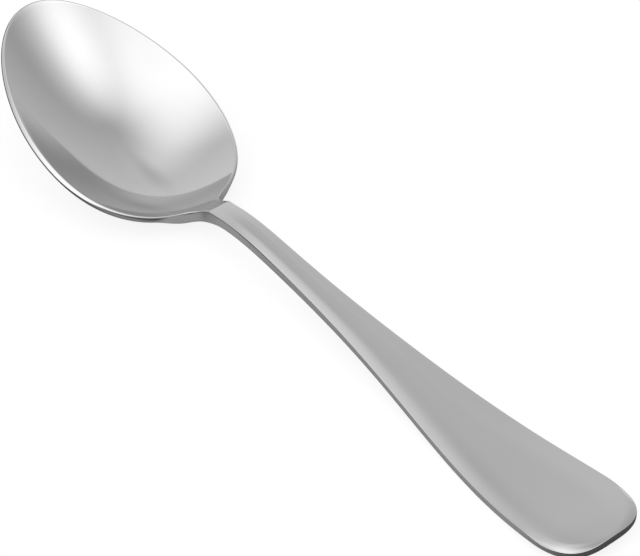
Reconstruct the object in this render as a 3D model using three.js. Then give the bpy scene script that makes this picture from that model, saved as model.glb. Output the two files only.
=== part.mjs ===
// A one-piece stainless soup spoon, pressed and forged from a single blank.
// Millimetres, +Z up. The spoon lies on a table, bowl upward, with its handle along +X.
// It is modelled as one sheet of varying thickness with a rounded edge, divided into the four zones
// of a spoon: bowl, neck, stem and grip. Each zone is a closed solid and meets the next on a flat face.

import * as THREE from 'three';
import { ParametricGeometry } from 'three/addons/geometries/ParametricGeometry.js';
import { mergeVertices } from 'three/addons/utils/BufferGeometryUtils.js';

// Plan, seen from above
const LENGTH = 200;
const BOWL_LENGTH = 66.56;
const BOWL_WIDTH = 46.09;
const BOWL_EGG = 0.124; // how much fuller the egg is on its neck side
const SHOULDER_BLEND = 4.45; // softness of the inner corner between bowl and neck
const NECK_WIDTH = 5.98;
const GRIP_WIDTH = 23.9; // the width that the handle flares out to as its end begins to round off
const FLARE_DELAY = 1.547; // above 1, the handle stays slim for longer before it widens
const END_ROUNDING = 14.4; // length of the rounded end of the handle
const END_SQUARENESS = 3.06; // 2 is an ellipse, higher is squarer

// Side view: heights of the rim and of the handle's upper face above the table
const TIP_HEIGHT = 27.27;
const RIM_SAG = 3.08; // dip of the rim's line at the middle of the bowl
const NECK_HEIGHT = 9.02;
const RISE_HEIGHT = 10.69;
const RISE_RUN = 12; // from the end of the bowl to the top of the rise
const ARCH_HEIGHT = 9.9;
const ARCH_RUN = 29; // from the end of the bowl to the back of the arch
const MIDDLE_HEIGHT = 5.46;
const REST_HEIGHT = 2.15;
const REST_RUN = 30; // from the end of the handle to where it lies on the table
const END_HEIGHT = 4.82;

// Hollow of the bowl
const BOWL_DEPTH = 10.54;
const DISH_FULLNESS = 1.98; // 2 is a paraboloid, higher has a flatter floor and steeper walls
const HOLLOW_RUNOUT = 6.2; // how far the hollow runs past the bowl's end into the neck
const RIM_SOFTNESS = 0.25; // rounding of the hollow's edge
const HEEL_SOFTNESS = 3; // rounding of the underside below the hollow's run-out

// Thickness of the metal
const RIM_THICKNESS = 1.52;
const NECK_THICKNESS = 3.03;
const GRIP_THICKNESS = 2.19;
const HEEL_RUN = 19; // length over which the bowl's wall thickens towards the neck
const HEEL_SPREAD = 9.5; // half-width of the thickened heel
const SHOULDER_RUN = 3.75; // the last stretch of the bowl, where the whole width is thick
const TAPER_START = 8; // from the end of the bowl to where the neck begins to thin
const TAPER_RUN = 61.8;
const EDGE_BULGE = 0.2; // how far the rounded edge stands out
const EDGE_ROLL_WIDTH = 8; // the handle's upper face is crowned: it falls away towards its edges
const EDGE_ROLL_DROP = 0.5;
const EDGE_ROLL_FULLNESS = 3; // 2 is a parabola, higher leaves the middle flatter
const EDGE_ROLL_RUN = 8; // the fall starts gently behind the neck
const REST_FLAT_DEPTH = 0.15; // polished flat where the underside bears on the table

// Zones along the handle
const BOWL_TO_NECK = 7; // the bowl's zone ends this far past the bowl's own length
const NECK_ZONE = 24;
const GRIP_ZONE = 54; // measured back from the end of the handle

// Fineness of the surface
const ACROSS_STEPS = 20;
const EDGE_STEPS = 4;
const TIP_ROWS = 15;
const HEEL_ROWS = 18;
const CORNER_ROWS = 18;
const NECK_ROWS = 10;
const STEM_ROWS = 9;
const GRIP_ROWS = 10;
const END_ROWS = 10;
const SLOPE_STEP = 0.001;
const OUTLINE_HALVINGS = 40;
const SEAM = 0.0001; // points closer than this are one point

const STEEL = { color: 0xb4b4b4, roughness: 0.16, metalness: 1 };

function ease(t) {
	const c = THREE.MathUtils.clamp(t, 0, 1);
	return c * c * (3 - 2 * c);
}

// Larger of two values with a rounded changeover
function softMax(a, b, softness) {
	const share = THREE.MathUtils.clamp(0.5 + 0.5 * (a - b) / softness, 0, 1);
	return b + (a - b) * share + softness * share * (1 - share);
}

// Natural cubic spline through the points, as a height over x
function sideSpline(points) {
	const n = points.length - 1;
	const run = points.slice(1).map((p, i) => p.x - points[i].x);
	const slope = points.slice(1).map((p, i) => (p.y - points[i].y) / run[i]);
	const bend = new Array(n + 1).fill(0);
	const pivot = new Array(n + 1).fill(1);
	for (let i = 1; i < n; i ++) {
		const share = i > 1 ? run[i - 1] / pivot[i - 1] : 0;
		pivot[i] = 2 * (run[i - 1] + run[i]) - share * (i > 1 ? run[i - 1] : 0);
		bend[i] = 6 * (slope[i] - slope[i - 1]) - share * bend[i - 1];
	}
	for (let i = n - 1; i > 0; i --) {
		bend[i] = (bend[i] - (i < n - 1 ? run[i] * bend[i + 1] : 0)) / pivot[i];
	}
	return (x) => {
		const found = points.findIndex((p) => p.x > x);
		const i = found < 0 ? n - 1 : Math.max(found - 1, 0);
		const h = run[i];
		const a = points[i + 1].x - x;
		const b = x - points[i].x;
		const chord = (points[i].y * a + points[i + 1].y * b) / h;
		return chord - a * b * (bend[i] * (a + h) + bend[i + 1] * (b + h)) / (6 * h);
	};
}

// Height of the rim along the bowl, then of the handle's upper face
const sideLine = sideSpline([
	new THREE.Vector2(0, TIP_HEIGHT),
	new THREE.Vector2(BOWL_LENGTH / 2, (TIP_HEIGHT + NECK_HEIGHT) / 2 - RIM_SAG),
	new THREE.Vector2(BOWL_LENGTH, NECK_HEIGHT),
	new THREE.Vector2(BOWL_LENGTH + RISE_RUN, RISE_HEIGHT),
	new THREE.Vector2(BOWL_LENGTH + ARCH_RUN, ARCH_HEIGHT),
	new THREE.Vector2((BOWL_LENGTH + LENGTH) / 2, MIDDLE_HEIGHT),
	new THREE.Vector2(LENGTH - REST_RUN, REST_HEIGHT),
	new THREE.Vector2(LENGTH, END_HEIGHT),
]);

// Place along the bowl, -1 at its tip and 1 at its neck end
function bowlPlace(x) {
	return 2 * x / BOWL_LENGTH - 1;
}

// The egg is an ellipse whose half-width grows steadily along the bowl
const widestPlace = (Math.sqrt(1 + 8 * BOWL_EGG ** 2) - 1) / (4 * BOWL_EGG);
const middleSide = BOWL_WIDTH / 2 / (Math.sqrt(1 - widestPlace ** 2) * (1 + BOWL_EGG * widestPlace));

function eggSide(place) {
	return middleSide * (1 + BOWL_EGG * place);
}

// Share of the way from the middle of the egg to its outline
function eggReach(x, y) {
	const place = bowlPlace(x);
	return Math.hypot(place, y / eggSide(place));
}

// How far a point lies outside the egg
function outsideEgg(x, y) {
	const place = bowlPlace(x);
	const side = eggSide(place);
	const along = (place - middleSide * BOWL_EGG * y ** 2 / side ** 3) * 2 / BOWL_LENGTH;
	const reach = eggReach(x, y);
	return (reach - 1) * reach / Math.hypot(along, y / side ** 2);
}

// Half-width of the handle before its end is rounded
function handleSide(x) {
	const flareEnd = LENGTH - END_ROUNDING / 2;
	const t = THREE.MathUtils.clamp((x - BOWL_LENGTH) / (flareEnd - BOWL_LENGTH), 0, 1);
	const flare = 0.5 - 0.5 * Math.cos(Math.PI * t ** FLARE_DELAY);
	return (NECK_WIDTH + (GRIP_WIDTH - NECK_WIDTH) * flare) / 2;
}

// Share of the rounded end that x has reached
function endShare(x) {
	return THREE.MathUtils.clamp((x - LENGTH + END_ROUNDING) / END_ROUNDING, 0, 1);
}

// Half-width of the whole spoon: egg and handle joined by a rounded inner corner
function outline(x) {
	const place = bowlPlace(x);
	if (place < 0) return eggSide(place) * Math.sqrt(Math.max(1 - place ** 2, 0));
	const end = (1 - endShare(x) ** END_SQUARENESS) ** (1 / END_SQUARENESS);
	const handle = handleSide(x) * end;
	let inside = 0;
	let outside = BOWL_WIDTH;
	for (let i = 0; i < OUTLINE_HALVINGS; i ++) {
		const y = (inside + outside) / 2;
		const within = softMax(-outsideEgg(x, y), handle - y, SHOULDER_BLEND) > 0;
		inside = within ? y : inside;
		outside = within ? outside : y;
	}
	return inside;
}

// Fall of the handle's upper face towards its edges
function edgeRoll(x, y) {
	const side = handleSide(x);
	const lateral = Math.min(Math.abs(y) / side, 1);
	const reach = (endShare(x) ** END_SQUARENESS + lateral ** END_SQUARENESS) ** (1 / END_SQUARENESS);
	const near = THREE.MathUtils.clamp(1 - (1 - reach) * side / Math.min(EDGE_ROLL_WIDTH, side), 0, 1);
	return EDGE_ROLL_DROP * near ** EDGE_ROLL_FULLNESS * ease((x - BOWL_LENGTH) / EDGE_ROLL_RUN);
}

// Depth of the hollow below the rim's line. Its edge is the egg's, drawn out into the neck.
function hollow(x, y, softness) {
	const place = bowlPlace(x);
	const stretch = place > 0 ? BOWL_LENGTH / (BOWL_LENGTH + 2 * HOLLOW_RUNOUT) : 1;
	const reach = Math.hypot(place * stretch, y / eggSide(place));
	return softMax(BOWL_DEPTH * (1 - reach ** DISH_FULLNESS), 0, softness);
}

// Height of the upper face
function upperFace(x, y) {
	return sideLine(x) - hollow(x, y, RIM_SOFTNESS) - edgeRoll(x, y);
}

// Metal under the hollow's run-out, where the underside turns more gently than the hollow's edge
function heelFill(x, y) {
	const softness = RIM_SOFTNESS + (HEEL_SOFTNESS - RIM_SOFTNESS) * ease(2 * bowlPlace(x) - 1);
	return hollow(x, y, softness) - hollow(x, y, RIM_SOFTNESS);
}

function thickness(x, y) {
	const fill = heelFill(x, y);
	if (x > BOWL_LENGTH) {
		const taper = ease((x - BOWL_LENGTH - TAPER_START) / TAPER_RUN);
		return NECK_THICKNESS + (GRIP_THICKNESS - NECK_THICKNESS) * taper - edgeRoll(x, y) + fill;
	}
	const along = ease((x - BOWL_LENGTH + HEEL_RUN) / HEEL_RUN);
	const middle = Math.max(1 - (y / HEEL_SPREAD) ** 2, 0) ** 2;
	const across = middle + (1 - middle) * ease((x - BOWL_LENGTH + SHOULDER_RUN) / SHOULDER_RUN);
	return RIM_THICKNESS + (NECK_THICKNESS - RIM_THICKNESS) * along * across + fill;
}

// Slope of the upper face that the metal's thickness follows. It fades towards the neck, because the
// handle's edges stand upright.
function faceSlope(x, y) {
	const along = (upperFace(x + SLOPE_STEP, y) - upperFace(x - SLOPE_STEP, y)) / (2 * SLOPE_STEP);
	const across = (upperFace(x, y + SLOPE_STEP) - upperFace(x, y - SLOPE_STEP)) / (2 * SLOPE_STEP);
	const share = THREE.MathUtils.clamp((BOWL_LENGTH - x) / HEEL_RUN, 0, 1);
	return new THREE.Vector2(along * share, across * share);
}

// Direction square to the outline in plan, on the +Y side
function outwardAt(x) {
	if (x <= 0) return new THREE.Vector2(-1, 0);
	if (x >= LENGTH) return new THREE.Vector2(1, 0);
	if (x > BOWL_LENGTH && x < LENGTH - END_ROUNDING) return new THREE.Vector2(0, 1);
	const before = Math.max(x - SLOPE_STEP, 0);
	const after = Math.min(x + SLOPE_STEP, LENGTH);
	const widening = (outline(after) - outline(before)) / (after - before);
	return new THREE.Vector2(-widening, 1).normalize();
}

// One cross-section: a closed ring of points, over the top from +Y to -Y and back underneath
function section(x) {
	const outward = outwardAt(x);
	const side = outline(x);
	const metal = thickness(x, side);
	const wallX = x - metal * outward.x;
	const wallSide = Math.max(side - metal * outward.y, 0);
	const edgeSlope = faceSlope(wallX, wallSide).dot(outward);
	const lean = Math.max(edgeSlope, 0) / Math.hypot(1, edgeSlope);
	const overhang = metal * lean / 2;
	const inset = overhang + Math.hypot(overhang, EDGE_BULGE * Math.sqrt(1 - lean ** 2));
	const rowX = x - inset * outward.x;
	const rowSide = Math.max(side - inset * outward.y, 0);

	const top = [];
	const bottom = [];
	for (let i = 0; i <= ACROSS_STEPS; i ++) {
		const y = rowSide * (1 - 2 * i / ACROSS_STEPS);
		const slope = faceSlope(rowX, y);
		const normal = new THREE.Vector3(-slope.x, -slope.y, 1).normalize();
		const point = new THREE.Vector3(rowX, y, upperFace(rowX, y));
		top.push(point);
		bottom.push(point.clone().addScaledVector(normal, -thickness(rowX, y)));
	}

	const edge = (index, hand) => {
		const slope = faceSlope(rowX, top[index].y);
		const rise = slope.x * outward.x + slope.y * hand * outward.y;
		const out = new THREE.Vector3(outward.x, hand * outward.y, rise).normalize();
		const middle = top[index].clone().add(bottom[index]).divideScalar(2);
		const half = top[index].clone().sub(middle);
		const points = [];
		for (let i = 1; i < EDGE_STEPS; i ++) {
			const angle = Math.PI * i / EDGE_STEPS;
			const level = middle.clone().addScaledVector(half, Math.cos(angle));
			points.push(level.addScaledVector(out, EDGE_BULGE * Math.sin(angle)));
		}
		return points;
	};
	const right = edge(ACROSS_STEPS, -1);
	const left = edge(0, 1).reverse();
	return { ring: [...top, ...right, ...bottom.reverse(), ...left], top, bottom };
}

// Rows from one place to another, evenly spaced
function evenRows(from, to, count) {
	return Array.from({ length: count + 1 }, (_, i) => from + (to - from) * i / count);
}

const cornerStart = BOWL_LENGTH - BOWL_TO_NECK;
const neckStart = BOWL_LENGTH + BOWL_TO_NECK;
const stemStart = neckStart + NECK_ZONE;
const gripStart = LENGTH - GRIP_ZONE;
const endStart = LENGTH - END_ROUNDING;
const quarterTurn = evenRows(0, Math.PI / 2, TIP_ROWS);
const endTurn = evenRows(0, Math.PI / 2, END_ROWS);

const zones = {
	bowl: [
		...quarterTurn.map((angle) => BOWL_LENGTH / 2 * (1 - Math.cos(angle))),
		...evenRows(BOWL_LENGTH / 2, cornerStart, HEEL_ROWS).slice(1),
		...evenRows(cornerStart, neckStart, CORNER_ROWS).slice(1),
	],
	neck: evenRows(neckStart, stemStart, NECK_ROWS),
	stem: evenRows(stemStart, gripStart, STEM_ROWS),
	grip: [
		...evenRows(gripStart, endStart, GRIP_ROWS),
		...endTurn.slice(1).map((angle) => endStart + END_ROUNDING * Math.sin(angle)),
	],
};

// The underside is ground flat where it would reach below the table
const sections = Object.fromEntries(Object.entries(zones).map(([name, rows]) => [name, rows.map(section)]));
const points = Object.values(sections).flat().flatMap((row) => row.ring);
const extent = new THREE.Box3().setFromPoints(points);
const middleX = (extent.min.x + extent.max.x) / 2;
const tableHeight = extent.min.z + REST_FLAT_DEPTH;
points.forEach((point) => {
	point.z = Math.max(point.z, tableHeight);
});

// Flat end of a zone: its ring drawn in to the line halfway between upper face and underside.
// A tip's ring has no width and closes by itself.
function endLine({ ring, top, bottom }) {
	if (top[0].distanceTo(top[ACROSS_STEPS]) < SEAM) return ring;
	const under = bottom.slice().reverse();
	const middle = top.map((point, i) => point.clone().add(under[i]).divideScalar(2));
	return ring.map((point, i) => {
		if (i <= ACROSS_STEPS) return middle[i];
		if (i < ACROSS_STEPS + EDGE_STEPS) return middle[ACROSS_STEPS];
		return middle[Math.max(2 * ACROSS_STEPS + EDGE_STEPS - i, 0)];
	});
}

// Triangles left without area where points have been merged are taken out
function closeSeams(geometry) {
	geometry.deleteAttribute('normal');
	geometry.deleteAttribute('uv');
	const merged = mergeVertices(geometry, SEAM);
	const kept = [];
	for (let i = 0; i < merged.index.count; i += 3) {
		const corners = [merged.index.getX(i), merged.index.getX(i + 1), merged.index.getX(i + 2)];
		if (new Set(corners).size === 3) kept.push(...corners);
	}
	merged.setIndex(kept);
	merged.computeVertexNormals();
	return merged;
}

function zoneMesh(name, rows) {
	const first = rows[0];
	const last = rows[rows.length - 1];
	const rings = [endLine(first), ...rows.map((row) => row.ring), endLine(last)];
	const around = first.ring.length;
	const surface = (u, v, target) => {
		const ring = rings[Math.round(v * (rings.length - 1))];
		target.copy(ring[Math.round(u * around) % around]);
	};
	const geometry = closeSeams(new ParametricGeometry(surface, around, rings.length - 1));
	const mesh = new THREE.Mesh(geometry, new THREE.MeshStandardMaterial(STEEL));
	mesh.name = name;
	return mesh;
}

const spoon = new THREE.Group();
spoon.name = 'soup_spoon';
Object.entries(sections).forEach(([name, rows]) => spoon.add(zoneMesh(name, rows)));
spoon.position.set(-middleX, 0, -tableHeight);

export default spoon;
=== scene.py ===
import math

import bmesh
import bpy
from mathutils import Matrix, Vector


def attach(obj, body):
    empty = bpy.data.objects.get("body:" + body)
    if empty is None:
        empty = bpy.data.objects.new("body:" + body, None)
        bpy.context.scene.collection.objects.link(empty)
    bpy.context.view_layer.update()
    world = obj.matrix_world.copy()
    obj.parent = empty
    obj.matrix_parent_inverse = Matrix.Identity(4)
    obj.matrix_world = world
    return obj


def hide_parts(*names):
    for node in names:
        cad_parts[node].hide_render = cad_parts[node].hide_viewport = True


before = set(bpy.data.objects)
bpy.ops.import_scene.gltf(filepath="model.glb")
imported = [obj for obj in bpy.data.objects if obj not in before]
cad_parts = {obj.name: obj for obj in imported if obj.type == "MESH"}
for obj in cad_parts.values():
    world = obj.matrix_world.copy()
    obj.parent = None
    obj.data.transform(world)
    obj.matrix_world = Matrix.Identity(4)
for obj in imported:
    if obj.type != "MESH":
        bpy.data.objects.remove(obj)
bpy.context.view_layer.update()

MM = 0.001

# Plan of the spoon in millimetres, measured from the tip of its bowl
LENGTH = 200.0
BOWL_LENGTH = 66.56
BOWL_WIDTH = 46.09
BOWL_EGG = 0.124
SHOULDER_BLEND = 4.45
NECK_WIDTH = 5.98
GRIP_WIDTH = 23.9
FLARE_DELAY = 1.547
END_ROUNDING = 14.4
END_SQUARENESS = 3.06
END_START = LENGTH - END_ROUNDING

# Side view: heights of the rim and of the handle's upper face above the table
TIP_HEIGHT = 27.27
RIM_SAG = 3.08
NECK_HEIGHT = 9.02
RISE_HEIGHT = 10.69
RISE_RUN = 12.0
ARCH_HEIGHT = 9.9
ARCH_RUN = 29.0
MIDDLE_HEIGHT = 5.46
REST_HEIGHT = 2.15
REST_RUN = 30.0
END_HEIGHT = 4.82

# Hollow of the bowl
BOWL_DEPTH = 10.54
DISH_FULLNESS = 1.98
HOLLOW_RUNOUT = 6.2
RIM_SOFTNESS = 0.25
HEEL_SOFTNESS = 3.0

# Thickness of the metal
RIM_THICKNESS = 1.52
NECK_THICKNESS = 3.03
GRIP_THICKNESS = 2.19
END_METAL = 0.4
HEEL_RUN = 19.0
HEEL_SPREAD = 9.5
HEEL_FILL_START = 0.5
SHOULDER_RUN = 3.75
TAPER_START = 8.0
TAPER_RUN = 61.8

# Section of the edge: how far it stands out, how square its corners are and where it turns upright
EDGE_BULGE = 0.2
EDGE_SQUARENESS = 3.2
RIM_BULGE = 0.35
RIM_SQUARENESS = 1.9
UPRIGHT_RUN = 24.5

# Fall of the handle's upper face towards its edges, and once more round its end
EDGE_ROLL_WIDTH = 8.0
EDGE_ROLL_DROP = 0.5
EDGE_ROLL_FULLNESS = 3.0
EDGE_ROLL_RUN = 8.0
END_ROLL_WIDTH = 2.2
END_ROLL_DROP = 0.65
END_ROLL_FULLNESS = 2.0
END_ROLL_MIDDLE = 0.25
END_ROLL_CORNER = 0.8
END_ROLL_START = 0.5

# Fineness of the polished surface
COLUMNS = 64
TIP_ROWS = 44
HEEL_ROWS = 64
CORNER_ROWS = 64
HANDLE_ROWS = 120
END_ROWS = 44
EDGE_STEPS = 12
PROBE = 0.001
OUTLINE_ACCURACY = 0.000001


def clamp(value, low=0.0, high=1.0):
    return min(max(value, low), high)


def ease(t):
    t = clamp(t)
    return t * t * (3 - 2 * t)


def blend(first, last, share):
    return first + (last - first) * share


def soft_max(a, b, softness):
    """Larger of two values with a rounded changeover."""
    share = clamp(0.5 + 0.5 * (a - b) / softness)
    return blend(b, a, share) + softness * share * (1 - share)


class SideLine:
    """Smooth height over the length of the spoon, through a few given heights."""

    def __init__(self, *stations):
        self.x, self.z = zip(*stations)
        last = len(stations) - 1
        self.run = [self.x[i + 1] - self.x[i] for i in range(last)]
        slope = [(self.z[i + 1] - self.z[i]) / self.run[i] for i in range(last)]
        self.bend = [0.0] * (last + 1)
        pivot = [1.0] * (last + 1)
        carried = 0.0
        for i in range(1, last):
            pivot[i] = 2 * (self.run[i - 1] + self.run[i]) - carried * self.run[i - 1]
            self.bend[i] = 6 * (slope[i] - slope[i - 1]) - carried * self.bend[i - 1]
            carried = self.run[i] / pivot[i]
        for i in range(last - 1, 0, -1):
            self.bend[i] = (self.bend[i] - self.run[i] * self.bend[i + 1]) / pivot[i]

    def __call__(self, x):
        i = max(k for k in range(len(self.run)) if k == 0 or self.x[k] <= x)
        run = self.run[i]
        ahead = self.x[i + 1] - x
        behind = x - self.x[i]
        chord = (self.z[i] * ahead + self.z[i + 1] * behind) / run
        sag = self.bend[i] * (ahead + run) + self.bend[i + 1] * (behind + run)
        return chord - ahead * behind * sag / (6 * run)


side_line = SideLine(
    (0.0, TIP_HEIGHT),
    (BOWL_LENGTH / 2, (TIP_HEIGHT + NECK_HEIGHT) / 2 - RIM_SAG),
    (BOWL_LENGTH, NECK_HEIGHT),
    (BOWL_LENGTH + RISE_RUN, RISE_HEIGHT),
    (BOWL_LENGTH + ARCH_RUN, ARCH_HEIGHT),
    ((BOWL_LENGTH + LENGTH) / 2, MIDDLE_HEIGHT),
    (LENGTH - REST_RUN, REST_HEIGHT),
    (LENGTH, END_HEIGHT),
)

widest_place = (math.sqrt(1 + 8 * BOWL_EGG ** 2) - 1) / (4 * BOWL_EGG)
middle_side = BOWL_WIDTH / 2 / (math.sqrt(1 - widest_place ** 2) * (1 + BOWL_EGG * widest_place))


def bowl_place(x):
    """Place along the bowl, -1 at its tip and 1 at its neck end."""
    return 2 * x / BOWL_LENGTH - 1


def before_neck(x, run):
    """Eased share of the way through the last run of the bowl before the neck."""
    return ease((x - BOWL_LENGTH + run) / run)


def egg_side(place):
    return middle_side * (1 + BOWL_EGG * place)


def egg_reach(x, y):
    """Share of the way from the middle of the egg to its outline."""
    place = bowl_place(x)
    return math.hypot(place, y / egg_side(place))


def egg_slope(x, y):
    """How fast the share grows along and across, per millimetre, times the share itself."""
    place = bowl_place(x)
    side = egg_side(place)
    along = (place - middle_side * BOWL_EGG * y ** 2 / side ** 3) * 2 / BOWL_LENGTH
    return Vector((along, y / side ** 2))


def handle_side(x):
    flare_end = LENGTH - END_ROUNDING / 2
    t = clamp((x - BOWL_LENGTH) / (flare_end - BOWL_LENGTH))
    flare = 0.5 - 0.5 * math.cos(math.pi * t ** FLARE_DELAY)
    return blend(NECK_WIDTH, GRIP_WIDTH, flare) / 2


def end_share(x):
    """Share of the way through the handle's rounded end."""
    return clamp((x - END_START) / END_ROUNDING)


def corner_reach(along, lateral):
    """Share of the way from the middle of a square to its outline with rounded corners."""
    return (along ** END_SQUARENESS + abs(lateral) ** END_SQUARENESS) ** (1 / END_SQUARENESS)


def handle_reach(x, y):
    """Share of the way from the middle of the handle to its outline."""
    return corner_reach(end_share(x), min(abs(y) / handle_side(x), 1))


def outline(x):
    """Half-width behind the middle of the bowl: egg and handle joined by a rounded inner corner."""
    end = (1 - end_share(x) ** END_SQUARENESS) ** (1 / END_SQUARENESS)
    handle = handle_side(x) * end
    inside, outside = 0.0, BOWL_WIDTH
    while outside - inside > OUTLINE_ACCURACY:
        y = (inside + outside) / 2
        reach = egg_reach(x, y)
        gap = (reach - 1) * reach / egg_slope(x, y).length
        if soft_max(-gap, handle - y, SHOULDER_BLEND) > 0:
            inside = y
        else:
            outside = y
    return inside


def edge_roll(x, y):
    """Fall of the handle's upper face towards its edges."""
    side = handle_side(x)
    near = clamp(1 - (1 - handle_reach(x, y)) * side / min(EDGE_ROLL_WIDTH, side))
    return EDGE_ROLL_DROP * near ** EDGE_ROLL_FULLNESS * ease((x - BOWL_LENGTH) / EDGE_ROLL_RUN)


def end_roll(x, y):
    """Softened upper edge round the end of the handle, most of all at its two corners."""
    near = clamp(1 - (1 - handle_reach(x, y)) * END_ROUNDING / END_ROLL_WIDTH)
    corner = blend(END_ROLL_MIDDLE, 1, ease(abs(y) / handle_side(x) / END_ROLL_CORNER))
    return END_ROLL_DROP * corner * near ** END_ROLL_FULLNESS * ease(end_share(x) / END_ROLL_START)


def hollow(x, y, softness):
    """Depth below the rim's line; the hollow's edge is the egg's, drawn out into the neck."""
    place = bowl_place(x)
    stretch = BOWL_LENGTH / (BOWL_LENGTH + 2 * HOLLOW_RUNOUT) if place > 0 else 1
    reach = math.hypot(place * stretch, y / egg_side(place))
    return soft_max(BOWL_DEPTH * (1 - reach ** DISH_FULLNESS), 0, softness)


def upper_face(x, y):
    return side_line(x) - hollow(x, y, RIM_SOFTNESS) - edge_roll(x, y) - end_roll(x, y)


def heel_fill(x, y):
    """Metal under the hollow's run-out, where the underside turns more gently than its edge."""
    share = ease((bowl_place(x) - HEEL_FILL_START) / (1 - HEEL_FILL_START))
    return hollow(x, y, blend(RIM_SOFTNESS, HEEL_SOFTNESS, share)) - hollow(x, y, RIM_SOFTNESS)


def thickness(x, y):
    fill = heel_fill(x, y)
    if x > BOWL_LENGTH:
        taper = ease((x - BOWL_LENGTH - TAPER_START) / TAPER_RUN)
        metal = blend(NECK_THICKNESS, GRIP_THICKNESS, taper) + END_METAL * ease(end_share(x))
        return metal - edge_roll(x, y) - end_roll(x, y) + fill
    middle = max(1 - (y / HEEL_SPREAD) ** 2, 0) ** 2
    across = blend(middle, 1, before_neck(x, SHOULDER_RUN))
    return blend(RIM_THICKNESS, NECK_THICKNESS, before_neck(x, HEEL_RUN) * across) + fill


def face_slope(x, y):
    """Slope that the metal's thickness follows; it fades towards the neck, whose edges stand upright."""
    along = (upper_face(x + PROBE, y) - upper_face(x - PROBE, y)) / (2 * PROBE)
    across = (upper_face(x, y + PROBE) - upper_face(x, y - PROBE)) / (2 * PROBE)
    return Vector((along, across)) * clamp((BOWL_LENGTH - x) / UPRIGHT_RUN)


def edge_bulge(x):
    """How far the middle of the edge stands out; the rim is rounder than the handle."""
    return blend(RIM_BULGE, EDGE_BULGE, before_neck(x, HEEL_RUN))


def edge_profile(x, angle):
    """Place on the edge's section, up its thickness and outwards; the rim's lower corner is rounder."""
    corner = EDGE_SQUARENESS
    if angle > math.pi / 2:
        corner = blend(RIM_SQUARENESS, EDGE_SQUARENESS, before_neck(x, HEEL_RUN))
    rise = math.copysign(abs(math.cos(angle)) ** (2 / corner), math.cos(angle))
    return rise, edge_bulge(x) * math.sin(angle) ** (2 / corner)


def edge_inset(x, y, outward):
    """How far the upper face stays inside the outline, so that the edge itself reaches it."""
    metal = thickness(x, y)
    slope = face_slope(x - metal * outward.x, y - metal * outward.y).dot(outward)
    lean = max(slope, 0) / math.hypot(1, slope)
    overhang = metal * lean / 2
    return overhang + math.hypot(overhang, edge_bulge(x) * math.sqrt(1 - lean ** 2))


def round_square(a, b):
    """A square's point moved into the unit disc."""
    return a * math.sqrt(1 - b * b / 2), b * math.sqrt(1 - a * a / 2)


def tip_point(a, v):
    """Plan point in the front half of the bowl and the outward direction of its edge."""
    place, lateral = round_square(-a, v)
    reach = max(math.hypot(place, lateral), PROBE)
    edge_x = (place / reach + 1) * BOWL_LENGTH / 2
    edge_y = lateral / reach * egg_side(place / reach)
    growth = egg_slope(edge_x, edge_y)
    outward = growth.normalized()
    keep = 1 - edge_inset(edge_x, edge_y, outward) * growth.length
    place, lateral = place * keep, lateral * keep
    return (place + 1) * BOWL_LENGTH / 2, lateral * egg_side(place), outward


def straight_point(x, v):
    """Plan point on a row straight across the spoon and the outward direction of its edge."""
    side = outline(x)
    widening = 0.0
    if x < END_START:
        widening = (outline(x + PROBE) - outline(x - PROBE)) / (2 * PROBE)
    outward = Vector((-widening, 1)).normalized()
    inset = edge_inset(x, side, outward)
    hand = math.copysign(1, v)
    return x - inset * outward.x, v * (side - inset * outward.y), Vector((outward.x, hand * outward.y))


def end_point(e, v):
    """Plan point in the rounded end of the handle and the outward direction of its edge."""
    along, lateral = round_square(e, v)
    reach = max(math.hypot(along, lateral), PROBE)
    stretch = 1 / corner_reach(along / reach, lateral / reach)
    edge_along = along / reach * stretch
    edge_lateral = lateral / reach * stretch
    edge_x = END_START + END_ROUNDING * edge_along
    side = handle_side(edge_x)
    power = END_SQUARENESS - 1
    across = math.copysign(abs(edge_lateral) ** power, edge_lateral)
    growth = Vector((edge_along ** power / END_ROUNDING, across / side))
    outward = growth.normalized()
    keep = stretch * (1 - edge_inset(edge_x, edge_lateral * side, outward) * growth.length)
    x = END_START + END_ROUNDING * along * keep
    return x, lateral * keep * handle_side(x), outward


def spaced(first, last, count):
    return [blend(first, last, i / count) for i in range(count + 1)]


heel_start = BOWL_LENGTH - 2 * SHOULDER_BLEND
neck_start = BOWL_LENGTH + 2 * SHOULDER_BLEND
rows = [(tip_point, a) for a in spaced(1, 0, TIP_ROWS)[:-1]]
rows += [(straight_point, x) for x in spaced(BOWL_LENGTH / 2, heel_start, HEEL_ROWS)[:-1]]
rows += [(straight_point, x) for x in spaced(heel_start, neck_start, CORNER_ROWS)[:-1]]
rows += [(straight_point, x) for x in spaced(neck_start, END_START, HANDLE_ROWS)]
rows += [(end_point, e) for e in spaced(0, 1, END_ROWS)[1:]]


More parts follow.
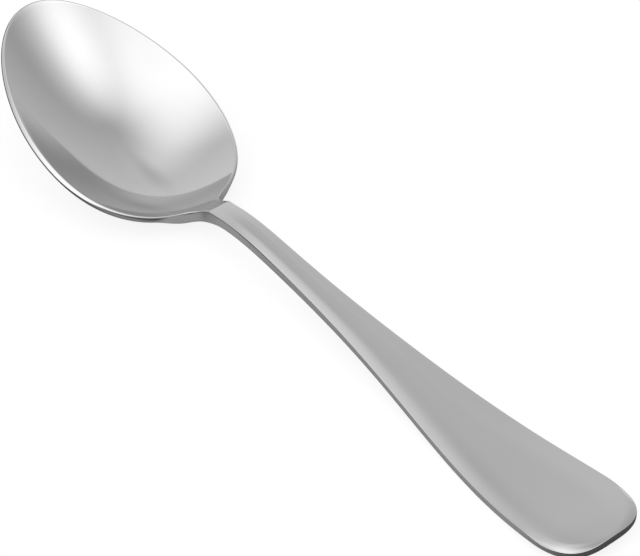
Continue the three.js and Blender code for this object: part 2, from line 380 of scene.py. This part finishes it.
def forge_spoon():
    """The whole spoon as one skin: upper face, underside, and the rounded edge between them."""
    shape = bmesh.new()
    number = shape.verts.layers.int.new("number")
    bmesh.ops.create_grid(shape, x_segments=len(rows) - 1, y_segments=COLUMNS, size=1)
    lower = {}
    edges = {}
    for i, vert in enumerate(shape.verts):
        make, value = rows[round((vert.co.x + 1) / 2 * (len(rows) - 1))]
        x, y, outward = make(value, vert.co.y)
        slope = face_slope(x, y)
        normal = Vector((-slope.x, -slope.y, 1)).normalized()
        vert[number] = i
        vert.co = (x, y, upper_face(x, y))
        lower[i] = vert.co - normal * thickness(x, y)
        edges[i] = Vector((outward.x, outward.y, slope.dot(outward))).normalized()
    upper = shape.faces[:]
    rim = [edge for edge in shape.edges if edge.is_boundary]
    underside = bmesh.ops.duplicate(shape, geom=shape.verts[:] + shape.edges[:] + upper)
    under_faces = [item for item in underside["geom"] if isinstance(item, bmesh.types.BMFace)]
    bmesh.ops.reverse_faces(shape, faces=under_faces)
    upper_edge = {vert[number]: vert.co.copy() for edge in rim for vert in edge.verts}
    for vert in {vert for face in under_faces for vert in face.verts}:
        vert.co = lower[vert[number]]
    for step in range(1, EDGE_STEPS + 1):
        angle = math.pi * step / EDGE_STEPS
        grown = bmesh.ops.extrude_edge_only(shape, edges=rim)["geom"]
        rim = [item for item in grown if isinstance(item, bmesh.types.BMEdge)]
        for vert in (item for item in grown if isinstance(item, bmesh.types.BMVert)):
            top, bottom = upper_edge[vert[number]], lower[vert[number]]
            half = (top - bottom) / 2
            rise, swell = edge_profile(top.x, angle)
            vert.co = bottom + half + half * rise + edges[vert[number]] * swell
    bmesh.ops.remove_doubles(shape, verts=shape.verts[:], dist=PROBE)
    # The lowest places rest flat on the table
    for vert in shape.verts:
        vert.co.z = max(vert.co.z, 0.0)
    bmesh.ops.translate(shape, verts=shape.verts[:], vec=(-LENGTH / 2, 0, 0))
    bmesh.ops.scale(shape, verts=shape.verts[:], vec=(MM, MM, MM))
    bmesh.ops.recalc_face_normals(shape, faces=shape.faces[:])
    for face in shape.faces:
        face.smooth = True
    mesh = bpy.data.meshes.new("spoon")
    shape.to_mesh(mesh)
    shape.free()
    return mesh


class Value:
    """A shader socket that takes part in sums and products."""

    def __init__(self, finish, socket):
        self.finish = finish
        self.socket = socket

    def _with(self, operation, *operands):
        inputs = dict(enumerate(operands))
        return self.finish.make("ShaderNodeMath", {"operation": operation}, inputs)

    def __add__(self, other):
        return self._with("ADD", self, other)

    def __radd__(self, other):
        return self._with("ADD", other, self)

    def __sub__(self, other):
        return self._with("SUBTRACT", self, other)

    def __rsub__(self, other):
        return self._with("SUBTRACT", other, self)

    def __mul__(self, other):
        return self._with("MULTIPLY", self, other)

    def __rmul__(self, other):
        return self._with("MULTIPLY", other, self)


class Finish:
    """The nodes of one material or of the world."""

    def __init__(self, owner):
        owner.use_nodes = True
        self.tree = owner.node_tree
        self.tree.nodes.clear()

    def make(self, kind, settings=None, inputs=None, output=0):
        node = self.tree.nodes.new(kind)
        for name, value in (settings or {}).items():
            if name == "stops":
                ramp = node.color_ramp
                while len(ramp.elements) < len(value):
                    ramp.elements.new(1.0)
                for stop, (place, shade) in zip(ramp.elements, value):
                    stop.position = place
                    stop.color = (shade, shade, shade, 1)
            else:
                setattr(node, name, value)
        for name, value in (inputs or {}).items():
            if isinstance(value, Value):
                self.tree.links.new(value.socket, node.inputs[name])
            else:
                node.inputs[name].default_value = value
        return Value(self, node.outputs[output]) if node.outputs else None


# Polish: the bowl is smoother than the handle, whose polishing lines run along it; the handle's steel
# colour carries a painted shade, so the bowl is brighter
STEEL_SHADE = 0.62
# Painted shade: how much darker the handle's steel colour is than the bowl's
HANDLE_PAINTED_SHADE = 0.028
BOWL_ROUGHNESS = 0.07
HANDLE_ROUGHNESS = 0.09
HANDLE_POLISH = (-0.036, -0.012)
GRAIN_ALONG = 45.0
GRAIN_ACROSS = 1500.0
GRAIN_DETAIL = 3.0
GRAIN_DEPTH = 0.05
SMUDGE_SCALE = 75.0
SMUDGE_DETAIL = 4.0
SMUDGE_DEPTH = 0.05
SMUDGE_SHADE = 0.03
NOISE_MIDDLE = 0.5
WAVE_HEIGHT = 0.00002
WAVE_STRENGTH = 0.12


def steel_finish():
    material = bpy.data.materials.new("polished_steel")
    finish = Finish(material)
    place = finish.make("ShaderNodeTexCoord", output="Object")
    x, y, z = (
        finish.make("ShaderNodeSeparateXYZ", inputs={"Vector": place}, output=axis) for axis in "XYZ"
    )
    handle = finish.make("ShaderNodeMapRange", {"interpolation_type": "SMOOTHSTEP"}, {
        "Value": x,
        "From Min": HANDLE_POLISH[0],
        "From Max": HANDLE_POLISH[1],
    })
    lines = finish.make("ShaderNodeCombineXYZ", inputs={
        "X": x * GRAIN_ALONG,
        "Y": y * GRAIN_ACROSS,
        "Z": z * GRAIN_ACROSS,
    })
    grain = finish.make("ShaderNodeTexNoise", inputs={
        "Vector": lines,
        "Scale": 1.0,
        "Detail": GRAIN_DETAIL,
    }) - NOISE_MIDDLE
    smudge = finish.make("ShaderNodeTexNoise", inputs={
        "Vector": place,
        "Scale": SMUDGE_SCALE,
        "Detail": SMUDGE_DETAIL,
    }) - NOISE_MIDDLE
    waves = finish.make("ShaderNodeBump", inputs={
        "Strength": WAVE_STRENGTH,
        "Distance": WAVE_HEIGHT,
        "Height": grain * handle,
    })
    roughness = blend(BOWL_ROUGHNESS, HANDLE_ROUGHNESS, handle)
    surface = finish.make("ShaderNodeBsdfPrincipled", inputs={
        # Painted shade darkens the handle's steel; the smudges are random tone
        "Base Color": STEEL_SHADE - handle * HANDLE_PAINTED_SHADE + smudge * SMUDGE_SHADE,
        "Metallic": 1.0,
        "Roughness": roughness + grain * handle * GRAIN_DEPTH + smudge * SMUDGE_DEPTH,
        "Normal": waves,
    })
    finish.make("ShaderNodeOutputMaterial", inputs={"Surface": surface})
    return material


spoon = bpy.data.objects.new("spoon", forge_spoon())
bpy.context.scene.collection.objects.link(spoon)
spoon.data.materials.append(steel_finish())
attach(spoon, "root")
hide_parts("bowl", "neck", "stem", "grip")

# Surroundings: pale air with soft lights and one darker gap, each a feathered oval over the plan of the sky
AIR_LEVEL = 0.531
AIR_TO_HANDLE = -0.354
AIR_ACROSS = 0.062
OVERHEAD = dict(level=0.825, place=(0.514, 0.207), half=(0.255, 0.394), turn=0.453, feather=0.912)
WINDOW = dict(level=1.125, place=(0.090, -0.719), half=(0.529, 0.873), turn=-0.618, feather=0.740)
SIDE_LIGHT = dict(level=0.330, place=(-0.355, -0.009), half=(0.189, 0.344), turn=0.052, feather=1.005)
GAP = dict(level=-0.160, place=(-0.475, 0.403), half=(0.190, 0.075), turn=-0.047, feather=1.200)


def soft_light(air, x, y, level, place, half, turn, feather):
    """Level of a feathered oval light over the plan of the sky."""
    cos, sin = math.cos(turn), math.sin(turn)
    along = ((x - place[0]) * cos + (y - place[1]) * sin) * (1 / half[0])
    across = ((y - place[1]) * cos - (x - place[0]) * sin) * (1 / half[1])
    reach = air.make("ShaderNodeMath", {"operation": "SQRT"}, {0: along * along + across * across})
    return air.make("ShaderNodeMapRange", {"interpolation_type": "SMOOTHSTEP"}, {
        "Value": reach,
        "From Min": 1 - feather,
        "From Max": 1 + feather,
        "To Min": level,
        "To Max": 0.0,
    })


def surroundings():
    world = bpy.data.worlds.new("studio")
    air = Finish(world)
    toward = air.make("ShaderNodeTexCoord", output="Generated")
    x, y = (air.make("ShaderNodeSeparateXYZ", inputs={"Vector": toward}, output=axis) for axis in "XY")
    level = AIR_LEVEL + AIR_TO_HANDLE * x + AIR_ACROSS * y
    for light in (OVERHEAD, WINDOW, SIDE_LIGHT, GAP):
        level = level + soft_light(air, x, y, **light)
    glow = air.make("ShaderNodeBackground", inputs={"Color": (1, 1, 1, 1), "Strength": level})
    air.make("ShaderNodeOutputWorld", inputs={"Surface": glow})
    return world


bpy.context.scene.world = surroundings()


def flat_sheet(name, size, place):
    """A level sheet of the studio."""
    shape = bmesh.new()
    bmesh.ops.create_grid(shape, x_segments=1, y_segments=1, size=1)
    bmesh.ops.scale(shape, verts=shape.verts[:], vec=(size[0] / 2, size[1] / 2, 1))
    bmesh.ops.translate(shape, verts=shape.verts[:], vec=place)
    mesh = bpy.data.meshes.new(name)
    shape.to_mesh(mesh)
    shape.free()
    sheet = bpy.data.objects.new(name, mesh)
    bpy.context.scene.collection.objects.link(sheet)
    return sheet


# White floor, which keeps the spoon's soft shadow
FLOOR_SIZE = (12.0, 12.0)
FLOOR_PLACE = (0, 0, -0.0002)
FLOOR_SHADE = 0.9
FLOOR_LIFT = 0.8
FLOOR_WHITE = 1.06


def white_paper():
    material = bpy.data.materials.new("white_paper")
    finish = Finish(material)
    matt = finish.make("ShaderNodeBsdfDiffuse", inputs={
        "Color": (FLOOR_SHADE, FLOOR_SHADE, FLOOR_SHADE, 1),
    })
    white = finish.make("ShaderNodeEmission", inputs={"Strength": FLOOR_WHITE})
    lifted = finish.make("ShaderNodeMixShader", inputs={0: FLOOR_LIFT, 1: matt, 2: white})
    camera_ray, glossy_ray, clear_ray = (
        finish.make("ShaderNodeLightPath", output=f"Is {kind} Ray")
        for kind in ("Camera", "Glossy", "Transmission")
    )
    seen = camera_ray + glossy_ray + clear_ray
    look = finish.make("ShaderNodeMixShader", inputs={0: seen, 1: matt, 2: lifted})
    finish.make("ShaderNodeOutputMaterial", inputs={"Surface": look})
    return material


floor = flat_sheet("floor", FLOOR_SIZE, FLOOR_PLACE)
floor.data.materials.append(white_paper())

# A grey card under the spoon that only the polished steel shows: a painted reflection of a shaded table,
# with painted shadow that makes it darker beside the bowl and beyond the end.
# Its shades are given over its length, from 0 far beyond the bowl's tip to 1 just beyond the handle's end
CARD_SIZE = (0.81, 0.38)
CARD_PLACE = (-0.195, -0.16, -0.0001)
# Painted shade of the card over its length
CARD_PAINTED_SHADES = [
    (0.0, 0.3),
    (0.64, 0.3),
    (0.7, 0.5),
    (0.73, 0.42),
    (0.844, 0.42),
    (0.863, 0.12),
    (1.0, 0.12),
]
# Painted shadow on the card's near side, heaviest beside the heel of the bowl, given over the card's length
PAINTED_SHADOW_ALONG = [
    (0.0, 0.4),
    (0.635, 0.4),
    (0.66, 0.65),
    (0.68, 0.6),
    (0.698, 0.25),
    (0.708, 0.85),
    (0.716, 0.85),
    (0.73, 0.0),
]
# Across the spoon: full painted shadow at the first value, none at the second, on the spoon's near side
PAINTED_SHADOW_ACROSS = (-0.017, -0.0105)


def painted_reflection_board():
    material = bpy.data.materials.new("painted_reflection_card")
    finish = Finish(material)
    spot = finish.make("ShaderNodeTexCoord", output="Generated")
    along = finish.make("ShaderNodeSeparateXYZ", inputs={"Vector": spot}, output="X")
    place = finish.make("ShaderNodeTexCoord", output="Object")
    beside = finish.make("ShaderNodeMapRange", {"interpolation_type": "SMOOTHSTEP"}, {
        "Value": finish.make("ShaderNodeSeparateXYZ", inputs={"Vector": place}, output="Y"),
        "From Min": PAINTED_SHADOW_ACROSS[0],
        "From Max": PAINTED_SHADOW_ACROSS[1],
        "To Min": 1.0,
        "To Max": 0.0,
    })
    # Painted shadow on the near side of the card
    painted_shadow = finish.make("ShaderNodeValToRGB", {"stops": PAINTED_SHADOW_ALONG}, {"Fac": along}) * beside
    # Painted shades over the card's length, less where the painted shadow lies
    shade = finish.make("ShaderNodeValToRGB", {"stops": CARD_PAINTED_SHADES}, {"Fac": along}) * (1 - painted_shadow)
    matt = finish.make("ShaderNodeBsdfDiffuse", inputs={"Color": shade})
    finish.make("ShaderNodeOutputMaterial", inputs={"Surface": matt})
    return material


# The painted reflection card: hidden from the camera, from diffuse light and from shadows
card = flat_sheet("card", CARD_SIZE, CARD_PLACE)
card.data.materials.append(painted_reflection_board())
card.visible_camera = False
card.visible_diffuse = False
card.visible_shadow = False
card.visible_transmission = False

# Camera
VIEW_AZIMUTH = math.radians(51.014)
VIEW_HEIGHT = math.radians(41.792)
VIEW_ROLL = math.radians(-1.305)
VIEW_DISTANCE = 0.634612
VIEW_AIM = Vector((-0.00214, 0.008292, 0))
NEAREST_SEEN = 0.01
FARTHEST_SEEN = 20.0
SENSOR_WIDTH = 36.0
IMAGE_WIDTH = 640
FOCAL_PIXELS = 2828.4

lens = bpy.data.cameras.new("camera")
lens.sensor_width = SENSOR_WIDTH
lens.sensor_fit = "HORIZONTAL"
lens.lens = FOCAL_PIXELS / IMAGE_WIDTH * SENSOR_WIDTH
lens.clip_start = NEAREST_SEEN
lens.clip_end = FARTHEST_SEEN
camera = bpy.data.objects.new("camera", lens)
bpy.context.scene.collection.objects.link(camera)
back = Vector((
    math.sin(VIEW_AZIMUTH) * math.cos(VIEW_HEIGHT),
    -math.cos(VIEW_AZIMUTH) * math.cos(VIEW_HEIGHT),
    math.sin(VIEW_HEIGHT),
))
turn = (-back).to_track_quat("-Z", "Y").to_matrix().to_4x4() @ Matrix.Rotation(VIEW_ROLL, 4, "Z")
camera.matrix_world = Matrix.Translation(VIEW_AIM + back * VIEW_DISTANCE) @ turn
bpy.context.scene.camera = camera
bpy.context.scene.view_settings.view_transform = "Standard"
